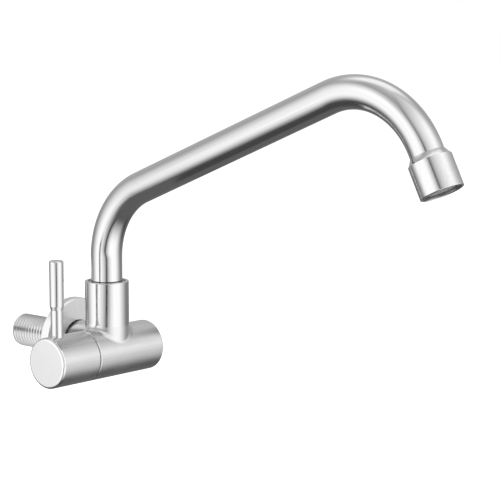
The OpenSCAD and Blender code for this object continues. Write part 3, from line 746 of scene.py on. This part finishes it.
def flange_steel():
    """Fine satin flange, with a lighter colour on its rim as a painted highlight."""
    return brushed_steel("flange_steel", "YXZ", finish().flange_gloss,
                         lines_per_metre=1800, line_length=20 * MM, depth=0.01 * MM, painted_highlight=rim_highlight_share)


def turned_thread_steel():
    """Turned stub and thread."""
    return brushed_steel("turned_thread_steel", "YXZ", finish().thread_gloss,
                         lines_per_metre=1500, line_length=10 * MM, depth=0.004 * MM)


def dull_turned_steel():
    """Unpolished steel in the outlet."""
    return mottled("dull_turned_steel", finish().dull_steel, gloss=0.5, per_metre=700, relief=0.01 * MM,
                   metallic=1.0)


def plain_screw_steel():
    """Plain steel of the screws."""
    return mottled("plain_screw_steel", finish().screw_steel, gloss=0.3, per_metre=900, relief=0.008 * MM,
                   metallic=1.0)


def machined_brass():
    """Brass of the headwork and the spigot."""
    return mottled("machined_brass", finish().brass, gloss=0.25, per_metre=500, relief=0.01 * MM,
                   metallic=1.0)


def lapped_ceramic():
    """Ceramic of the two discs."""
    return mottled("lapped_ceramic", finish().ceramic, gloss=0.12, per_metre=1500, relief=0.004 * MM,
                   contrast=0.05)


def black_rubber():
    """Rubber of the seals."""
    return mottled("black_rubber", finish().rubber, gloss=0.55, per_metre=1200, relief=0.02 * MM,
                   contrast=0.3)


def grey_nylon():
    """Nylon of the bushes and washers."""
    return mottled("grey_nylon", finish().nylon, gloss=0.45, per_metre=900, relief=0.02 * MM)


def grey_acetal():
    """Moulded acetal in the aerator."""
    return mottled("grey_acetal", finish().acetal, gloss=0.4, per_metre=800, relief=0.02 * MM)


def dress(material, *names):
    """Gives a finish to nodes or pieces by name."""
    for name in names:
        piece = frame["nodes"].get(name) or bpy.data.objects[name]
        piece.data.materials.clear()
        piece.data.materials.append(material)


# Operators

class PieceOperator:
    """What the operators share."""

    bl_options = {"REGISTER", "UNDO"}


class TAP_OT_spout_tube(PieceOperator, bpy.types.Operator):
    """Models the bent spout tube and finishes it"""

    bl_idname = "tap.spout_tube"
    bl_label = "Spout Tube"

    def execute(self, context):
        piece = make_spout_tube()
        dress(bright_tube_steel(), piece.name)
        return {"FINISHED"}


class TAP_OT_inlet_tail(PieceOperator, bpy.types.Operator):
    """Models the inlet's stub and thread and finishes them"""

    bl_idname = "tap.inlet_tail"
    bl_label = "Inlet Tail"

    def execute(self, context):
        piece = make_inlet_tail()
        dress(turned_thread_steel(), piece.name)
        return {"FINISHED"}


class TAP_OT_valve_body(PieceOperator, bpy.types.Operator):
    """Finishes the valve body and its bushes, and adds the blends at its two branches"""

    bl_idname = "tap.valve_body"
    bl_label = "Valve Body"

    def execute(self, context):
        size = sizes()
        inlet = Vector((0, CROSSING.y, CROSSING.z))
        socket = saddle_fillet("socket_fillet", CROSSING, SPOUT_AXIS, SOCKET_R,
                               size.socket_fillet, size.socket_flank)
        boss = saddle_fillet("boss_fillet", inlet, INLET_AXIS, TAIL_R,
                             size.boss_fillet, size.boss_fillet)
        dress(satin_body_steel(), "valve_body", socket.name, boss.name)
        dress(grey_nylon(), "mouth_bush", "glide_washer", "thrust_washer", "guide_ring")
        return {"FINISHED"}


class TAP_OT_handle(PieceOperator, bpy.types.Operator):
    """Finishes the handle's drum and lever"""

    bl_idname = "tap.handle"
    bl_label = "Handle"

    def execute(self, context):
        dress(satin_drum_steel(), "handle_drum")
        dress(bright_turned_steel(), "lever")
        return {"FINISHED"}


class TAP_OT_flange(PieceOperator, bpy.types.Operator):
    """Finishes the wall flange"""

    bl_idname = "tap.flange"
    bl_label = "Wall Flange"

    def execute(self, context):
        dress(flange_steel(), "wall_flange")
        return {"FINISHED"}


class TAP_OT_outlet(PieceOperator, bpy.types.Operator):
    """Finishes the outlet housing and the aerator in it"""

    bl_idname = "tap.outlet"
    bl_label = "Outlet and Aerator"

    def execute(self, context):
        dress(outlet_steel(), "outlet_housing")
        dress(dull_turned_steel(), "aerator_shell", "inlet_screen")
        dress(grey_acetal(), "flow_plate", "aerator_insert", "outlet_grid")
        return {"FINISHED"}


class TAP_OT_inner_pieces(PieceOperator, bpy.types.Operator):
    """Finishes the brass, ceramic, rubber and screws inside"""

    bl_idname = "tap.inner_pieces"
    bl_label = "Inner Pieces"

    def execute(self, context):
        dress(machined_brass(), "headwork_body", "spindle", "swivel_spigot")
        dress(lapped_ceramic(), "fixed_disc", "rotating_disc")
        dress(black_rubber(), "land_o_ring", "seat_seal", "spindle_o_rings", "swivel_o_rings",
              "aerator_gasket", "grip_ring")
        dress(plain_screw_steel(), "lock_screw", "drum_set_screw", "spindle_clip")
        return {"FINISHED"}


# Stage

# Edges of the light tent's panels in degrees, azimuth from the camera's side or elevation from level.
# Each runs from where the panel starts to where it is full.
LEFT_BOX_SIDE = (-134, -66)
LEFT_BOX_FOOT = (-66, -14)
LEFT_BOX_TOP = (62, 28)
RIGHT_BOX_SIDE = (128, 60)
RIGHT_BOX_FOOT = (-78, -26)
RIGHT_BOX_TOP = (95, 45)
BACK_PANEL_SIDE = (95, 155)
BACK_PANEL_FOOT = (42, 64)
BACK_PANEL_TOP = (112, 64)


def white_to_sight(tree):
    """1 for rays that show the background, seen straight, in metal or through glass, and 0 for its light."""
    path = add_node(tree, "ShaderNodeLightPath")
    shown = math_node(tree, "MAXIMUM", path.outputs["Is Camera Ray"], path.outputs["Is Glossy Ray"])
    return math_node(tree, "MAXIMUM", shown, path.outputs["Is Transmission Ray"])


def make_world():
    """A background that shows white and lights the matt surfaces softly."""
    world = bpy.context.scene.world or bpy.data.worlds.new("studio")
    bpy.context.scene.world = world
    world.use_nodes = True
    tree = world.node_tree
    level = math_node(tree, "MAXIMUM", white_to_sight(tree), studio().ambient)
    background = tree.nodes["Background"]
    background.inputs["Color"].default_value = WHITE
    tree.links.new(level, background.inputs["Strength"])
    world.cycles.sampling_method = "NONE"


def make_floor():
    """A pale round floor that shows white and keeps the tap's shadow."""
    room = studio()
    bm = bmesh.new()
    bmesh.ops.create_circle(bm, cap_ends=True, radius=room.floor_r, segments=96)
    floor = mesh_object("floor", bm)
    floor.location.z = -room.floor_drop
    floor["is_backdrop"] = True
    material, tree, shader = new_material("pale_floor")
    shader.inputs["Base Color"].default_value = opaque(room.floor_colour)
    shader.inputs["Roughness"].default_value = 0.9
    shader.inputs["Specular IOR Level"].default_value = 0.0
    shader.inputs["Emission Color"].default_value = WHITE
    lift = product(tree, white_to_sight(tree), room.floor_lift)
    tree.links.new(lift, shader.inputs["Emission Strength"])
    dress(material, floor.name)
    floor.visible_glossy = False


def glow_material(name):
    """A material with no surface yet, for a piece of the stage that glows."""
    material, tree, shader = new_material(name)
    tree.nodes.remove(shader)
    return material, tree


def show_to_mirrors_only(piece, material, surface):
    """Gives a piece of the stage a glow that lights nothing but shows in polished metal."""
    tree = material.node_tree
    tree.links.new(surface.outputs[0], tree.nodes["Material Output"].inputs["Surface"])
    material.cycles.emission_sampling = "NONE"
    dress(material, piece.name)
    piece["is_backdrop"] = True
    piece.visible_camera = False
    piece.visible_diffuse = False
    piece.visible_transmission = False
    piece.visible_volume_scatter = False
    piece.visible_shadow = False


def bearing(tree):
    """Azimuth from -Y and elevation of a point from its object's origin, in degrees, and its coordinates."""
    own = own_place(tree)
    place = axes_of(tree, own)
    towards = math_node(tree, "MULTIPLY", place["Y"], -1.0)
    azimuth = math_node(tree, "DEGREES", math_node(tree, "ARCTAN2", place["X"], towards))
    unit = add_node(tree, "ShaderNodeVectorMath", {0: own}, operation="NORMALIZE").outputs[0]
    elevation = math_node(tree, "DEGREES", math_node(tree, "ARCSINE", axes_of(tree, unit)["Z"]))
    return azimuth, elevation, place


def box_light(tree, off_slit, on_right, elevation):
    """Brightness of the soft boxes: dark at the slit between them, and white away from it."""
    core, left_spread, softness = 2.5, 42.5, 0.55
    right_spread = ramp(tree, elevation, low=5, high=35, to_low=38, to_high=95)
    spread = mix(tree, "FLOAT", on_right, left_spread, right_spread)
    away = math_node(tree, "ABSOLUTE", off_slit)
    near = add_node(tree, "ShaderNodeMapRange", {"Value": away, "From Min": core, "From Max": spread})
    rise = math_node(tree, "POWER", near.outputs[0], softness)
    slit_level = ramp(tree, elevation, low=5, high=60, to_low=0.02, to_high=0.28)
    return mix(tree, "FLOAT", rise, slit_level, 1.0)


def left_box(tree, azimuth, elevation):
    """Share of the left soft box, whose lower edge rises towards its far side."""
    edge_slope = 0.6
    past_full = math_node(tree, "MINIMUM", math_node(tree, "SUBTRACT", azimuth, LEFT_BOX_SIDE[1]), 0.0)
    height = math_node(tree, "ADD", elevation, product(tree, past_full, edge_slope))
    return product(tree, ramp(tree, azimuth, *LEFT_BOX_SIDE), ramp(tree, height, *LEFT_BOX_FOOT),
                   ramp(tree, elevation, *LEFT_BOX_TOP))


def right_box(tree, azimuth, elevation):
    """Share of the right soft box, which is widest at eye level."""
    bulge = 11
    swell = ramp(tree, elevation, low=-10, high=4, to_low=0, to_high=bulge)
    shrink = ramp(tree, elevation, low=12, high=30, to_low=0, to_high=-bulge)
    side = math_node(tree, "SUBTRACT", azimuth, math_node(tree, "ADD", swell, shrink))
    return product(tree, ramp(tree, side, *RIGHT_BOX_SIDE), ramp(tree, elevation, *RIGHT_BOX_FOOT),
                   ramp(tree, elevation, *RIGHT_BOX_TOP))


def tent_light(tree):
    """Brightness of the tent by direction: two tall soft boxes beside the camera and a panel high behind."""
    azimuth, elevation, _ = bearing(tree)
    around = math_node(tree, "ABSOLUTE", azimuth)
    # The dark slit between the two boxes, by its azimuth at each height
    low_lean = ramp(tree, elevation, low=-16, high=-7, to_low=-10, to_high=5)
    high_lean = ramp(tree, elevation, low=8, high=44, to_low=0, to_high=-35)
    off_slit = math_node(tree, "SUBTRACT", azimuth, math_node(tree, "ADD", low_lean, high_lean))
    on_right = math_node(tree, "GREATER_THAN", off_slit, 0.0)
    left = left_box(tree, azimuth, elevation)
    right = right_box(tree, azimuth, elevation)
    boxes = mix(tree, "FLOAT", on_right, left, right)
    back_panel = product(tree, ramp(tree, around, *BACK_PANEL_SIDE), ramp(tree, elevation, *BACK_PANEL_FOOT),
                         ramp(tree, elevation, *BACK_PANEL_TOP))
    back_level = 0.92
    # Between the panels it is dark below, grey above, and a little lighter overhead and behind
    cloth = ramp(tree, elevation, low=-40, high=25, to_low=0.055, to_high=0.34)
    overhead = ramp(tree, elevation, low=55, high=90, to_low=0.0, to_high=0.18)
    rear = ramp(tree, around, low=125, high=175, to_low=0.0, to_high=0.05)
    base = math_node(tree, "ADD", math_node(tree, "ADD", cloth, overhead), rear)
    level = mix(tree, "FLOAT", boxes, base, box_light(tree, off_slit, on_right, elevation))
    return mix(tree, "FLOAT", back_panel, level, back_level)


def make_tent():
    """The light tent: a dome that only mirrors see."""
    room = studio()
    bm = bmesh.new()
    bmesh.ops.create_uvsphere(bm, u_segments=64, v_segments=32, radius=room.tent_r)
    tent = mesh_object("light_tent", bm)
    tent.location = CROSSING
    tent.rotation_euler.z = room.camera_azimuth
    material, tree = glow_material("tent_panels")
    strength = product(tree, tent_light(tree), room.tent_level)
    glow = add_node(tree, "ShaderNodeEmission", {"Color": WHITE, "Strength": strength})
    show_to_mirrors_only(tent, material, glow)


def make_card(name, place, turn, radius, angles, heights):
    """A card bent round its own Z, from one angle in degrees to another, and from one height to another."""
    steps = 48
    bm = bmesh.new()
    edges = []
    for i in range(steps + 1):
        angle = math.radians(angles[0] + (angles[1] - angles[0]) * i / steps)
        side = Vector((math.sin(angle), -math.cos(angle), 0)) * radius
        edges.append([bm.verts.new(side + Vector((0, 0, height))) for height in heights])
    for (first_low, first_high), (second_low, second_high) in zip(edges, edges[1:]):
        bm.faces.new((first_low, second_low, second_high, first_high))
    card = mesh_object(name, bm)
    card.location = place
    card.rotation_euler = turn
    return card


def hang_cloth(flag, density_at, level):
    """Makes a card a thin grey cloth whose density is built from the angle and the place on it."""
    material, tree = glow_material(flag.name + "_cloth")
    angle, _, place = bearing(tree)
    cloth = add_node(tree, "ShaderNodeMixShader", {
        0: density_at(tree, angle, place),
        1: add_node(tree, "ShaderNodeBsdfTransparent").outputs[0],
        2: add_node(tree, "ShaderNodeEmission", {"Strength": level}).outputs[0]})
    show_to_mirrors_only(flag, material, cloth)


def make_body_flag():
    """A cloth up beyond the far end of the level body. It shades a band along the body's top."""
    near, far, soft = 56 * MM, 100 * MM, 14 * MM
    off_body = 45 * MM
    # Its own Z lies along -X, so that its angles run from the front up
    turn = (0, -math.pi / 2, 0)
    flag = make_card("body_flag", CROSSING, turn,
                     radius=BODY_R + off_body, angles=(30, 90), heights=(-far, -near))

    def density_at(tree, angle, place):
        lower_edge = ramp(tree, angle, low=42, high=56)
        upper_edge = ramp(tree, angle, low=77, high=63)
        near_edge = ramp(tree, place["Z"], -near, -near - soft)
        return product(tree, lower_edge, upper_edge, near_edge)

    hang_cloth(flag, density_at, level=0.1)


def make_arm_flag():
    """A cloth under the arm, so that its underside doesn't mirror the bright body."""
    half_width, half_length, soft = 20 * MM, 22 * MM, 8 * MM
    under_arm = Vector((-8 * MM, -36 * MM, 80 * MM))
    bm = bmesh.new()
    corners = [(-half_width, -half_length), (half_width, -half_length), (half_width, half_length),
               (-half_width, half_length)]
    bm.faces.new([bm.verts.new((*corner, 0)) for corner in corners])
    flag = mesh_object("arm_flag", bm)
    flag.location = CROSSING + under_arm

    def density_at(tree, angle, place):
        from_side = math_node(tree, "ABSOLUTE", place["X"])
        from_end = math_node(tree, "ABSOLUTE", place["Y"])
        return product(tree, ramp(tree, from_side, half_width, half_width - soft),
                       ramp(tree, from_end, half_length, half_length - soft))

    hang_cloth(flag, density_at, level=0.15)


def make_thread_card():
    """A white card round the thread, open on the right, with a dark gap at eye level."""
    off_thread, near, far = 30 * MM, 4 * MM, 84 * MM
    gap_angle = -76
    rim_end, thread_start = 22 * MM, 28 * MM
    # Its own Z lies along the inlet
    turn = (-math.pi / 2, 0, 0)
    card = make_card("thread_card", Vector(), turn,
                     radius=THREAD_R + off_thread, angles=(60, -225), heights=(near, far))
    material, tree = glow_material("thread_card_white")
    angle, _, place = bearing(tree)
    # Angles run from the top over the left side and past the bottom
    past_bottom = product(tree, math_node(tree, "GREATER_THAN", angle, 90.0), 360.0)
    angle = math_node(tree, "SUBTRACT", angle, past_bottom)
    upper = ramp(tree, angle, low=40, high=-30, to_low=0.42, to_high=0.95)
    lower = ramp(tree, angle, low=-120, high=-215, to_low=1.1, to_high=0.5)
    level = mix(tree, "FLOAT", math_node(tree, "LESS_THAN", angle, gap_angle), upper, lower)
    from_gap = math_node(tree, "ABSOLUTE", math_node(tree, "SUBTRACT", angle, gap_angle))
    level = product(tree, level, ramp(tree, from_gap, low=2, high=22, to_low=0.25, to_high=1.0))
    # The near part is plain for the flange's rim, white beside it and grey above
    rim_level = ramp(tree, angle, low=-25, high=-55, to_low=0.6, to_high=1.2)
    past_rim = ramp(tree, place["Z"], rim_end, thread_start)
    level = mix(tree, "FLOAT", past_rim, rim_level, level)
    show_to_mirrors_only(card, material, add_node(tree, "ShaderNodeEmission", {"Strength": level}))


def make_lamp(name, place, target, size, power):
    """A soft lamp for the matt surfaces and the floor's shadow. Mirrors see the tent instead."""
    data = bpy.data.lights.new(name, "AREA")
    data.shape = "SQUARE"
    data.size = size
    data.energy = power
    lamp = bpy.data.objects.new(name, data)
    bpy.context.scene.collection.objects.link(lamp)
    lamp.location = place
    lamp.rotation_mode = "QUATERNION"
    lamp.rotation_quaternion = (Vector(target) - Vector(place)).to_track_quat("-Z", "Y")
    lamp.visible_glossy = False


def make_camera():
    """The camera, where the photograph was taken from."""
    room = studio()
    data = bpy.data.cameras.new("photo_camera")
    data.sensor_width = 36
    data.lens = room.camera_lens
    data.clip_start = 0.01
    camera = bpy.data.objects.new("photo_camera", data)
    camera.location = room.camera_place
    camera.rotation_euler = (math.pi / 2 - room.camera_elevation, 0, room.camera_azimuth)
    bpy.context.scene.collection.objects.link(camera)
    bpy.context.scene.camera = camera


class TAP_OT_stage(PieceOperator, bpy.types.Operator):
    """Sets up the floor, the light and the camera"""

    bl_idname = "tap.stage"
    bl_label = "Stage"

    def execute(self, context):
        room = studio()
        context.scene.view_settings.view_transform = "Standard"
        make_camera()
        make_world()
        make_floor()
        make_tent()
        make_body_flag()
        make_arm_flag()
        make_thread_card()
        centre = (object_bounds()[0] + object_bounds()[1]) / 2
        make_lamp("key_lamp", room.key_place, centre, room.key_size, room.key_power)
        make_lamp("fill_lamp", room.fill_place, centre, room.fill_size, room.fill_power)
        return {"FINISHED"}


class TAP_PT_panel(bpy.types.Panel):
    """Lists the pieces, finishes and stage"""

    bl_idname = "TAP_PT_panel"
    bl_label = "Wall Tap"
    bl_space_type = "VIEW_3D"
    bl_region_type = "UI"
    bl_category = "Wall Tap"

    def draw(self, context):
        for group in GROUPS:
            box = self.layout.box()
            settings = getattr(context.scene, group)
            for name in settings.bl_rna.properties.keys():
                if name not in ("rna_type", "name"):
                    box.prop(settings, name)
        for operator in OPERATORS:
            self.layout.operator(operator.bl_idname)


GROUPS = {"tap_sizes": TapSizes, "tap_finish": TapFinish, "tap_studio": TapStudio}
OPERATORS = (
    TAP_OT_spout_tube,
    TAP_OT_inlet_tail,
    TAP_OT_valve_body,
    TAP_OT_handle,
    TAP_OT_flange,
    TAP_OT_outlet,
    TAP_OT_inner_pieces,
    TAP_OT_stage,
)


def register():
    """Registers the settings, the operators and the panel."""
    for group in GROUPS.values():
        bpy.utils.register_class(group)
    for name, group in GROUPS.items():
        setattr(bpy.types.Scene, name, bpy.props.PointerProperty(type=group))
    for operator in OPERATORS:
        bpy.utils.register_class(operator)
    bpy.utils.register_class(TAP_PT_panel)


def unregister():
    """Takes out the panel, the operators and the settings."""
    bpy.utils.unregister_class(TAP_PT_panel)
    for operator in reversed(OPERATORS):
        bpy.utils.unregister_class(operator)
    for name, group in reversed(GROUPS.items()):
        delattr(bpy.types.Scene, name)
        bpy.utils.unregister_class(group)


def main():
    """Builds the dressed tap and its studio."""
    register()
    bpy.ops.tap.spout_tube()
    bpy.ops.tap.inlet_tail()
    bpy.ops.tap.valve_body()
    bpy.ops.tap.handle()
    bpy.ops.tap.flange()
    bpy.ops.tap.outlet()
    bpy.ops.tap.inner_pieces()
    bpy.ops.tap.stage()


if __name__ == "__main__":
    main()
